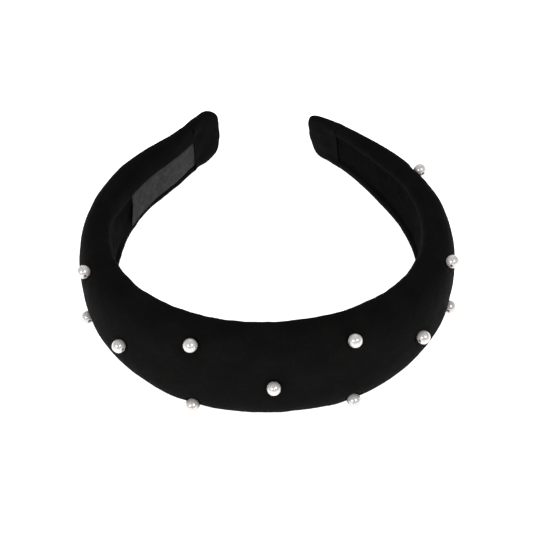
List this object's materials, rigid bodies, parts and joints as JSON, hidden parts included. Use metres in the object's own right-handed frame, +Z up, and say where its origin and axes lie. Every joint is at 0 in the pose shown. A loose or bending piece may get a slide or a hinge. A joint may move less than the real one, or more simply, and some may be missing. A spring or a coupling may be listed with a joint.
{
  "type": "headband",
  "caption": "Padded velvet hair hoop that narrows to two wrapped tips, with pearls sewn in a staggered pattern on its outer face and a ribbon lining inside.",
  "frame": {"origin": "bottom centre of the hoop as it lies on its lower edge", "axes": "+Z up, -Y towards the crown, +Y towards the tips, +X to the wearer's side"},
  "size_m": [0.1586, 0.165, 0.0437],
  "materials": {
    "velvet": "black velvet pile",
    "ribbon": "matt black woven ribbon",
    "label": "dark grey woven label, blank",
    "foam": "open-cell foam",
    "plastic": "moulded, matt",
    "pearl": "pearlescent lacquer",
    "thread": "twisted sewing thread"
  },
  "bodies": {
    "crown": {"core_crown": "plastic", "cover_crown": "velvet", "lining_crown": "ribbon", "pad_crown": "foam", "pearl_centre": "pearl", "pearl_left_1_lower": "pearl", "pearl_left_1_upper": "pearl", "pearl_right_1_lower": "pearl", "pearl_right_1_upper": "pearl", "stitch_centre": "thread", "stitch_left_1_lower": "thread", "stitch_left_1_upper": "thread", "stitch_right_1_lower": "thread", "stitch_right_1_upper": "thread"},
    "left_arm": {"core_left": "plastic", "cover_left": "velvet", "lining_left": "ribbon", "pad_left": "foam", "pearl_left_2": "pearl", "pearl_left_3_lower": "pearl", "pearl_left_3_upper": "pearl", "pearl_left_5_lower": "pearl", "stitch_left_2": "thread", "stitch_left_3_lower": "thread", "stitch_left_3_upper": "thread", "stitch_left_5_lower": "thread", "tip_wrap_left": "velvet", "label_left": "label"},
    "right_arm": {"core_right": "plastic", "cover_right": "velvet", "lining_right": "ribbon", "pad_right": "foam", "pearl_right_2": "pearl", "pearl_right_3_lower": "pearl", "pearl_right_3_upper": "pearl", "pearl_right_5_upper": "pearl", "stitch_right_2": "thread", "stitch_right_3_lower": "thread", "stitch_right_3_upper": "thread", "stitch_right_5_upper": "thread", "tip_wrap_right": "velvet"}
  },
  "joints": [
    {"name": "left_arm_flex", "type": "hinge", "parent": "crown", "child": "left_arm", "pos_m": [-0.04002, -0.05401, 0.02118], "axis": [0, 0.0557, 0.9985], "range_deg": [-5, 12], "stiffness_Nm_per_rad": 0.9},
    {"name": "right_arm_flex", "type": "hinge", "parent": "crown", "child": "right_arm", "pos_m": [0.03993, -0.05401, 0.02118], "axis": [0, -0.0557, -0.9985], "range_deg": [-5, 12], "stiffness_Nm_per_rad": 0.9}
  ]
}
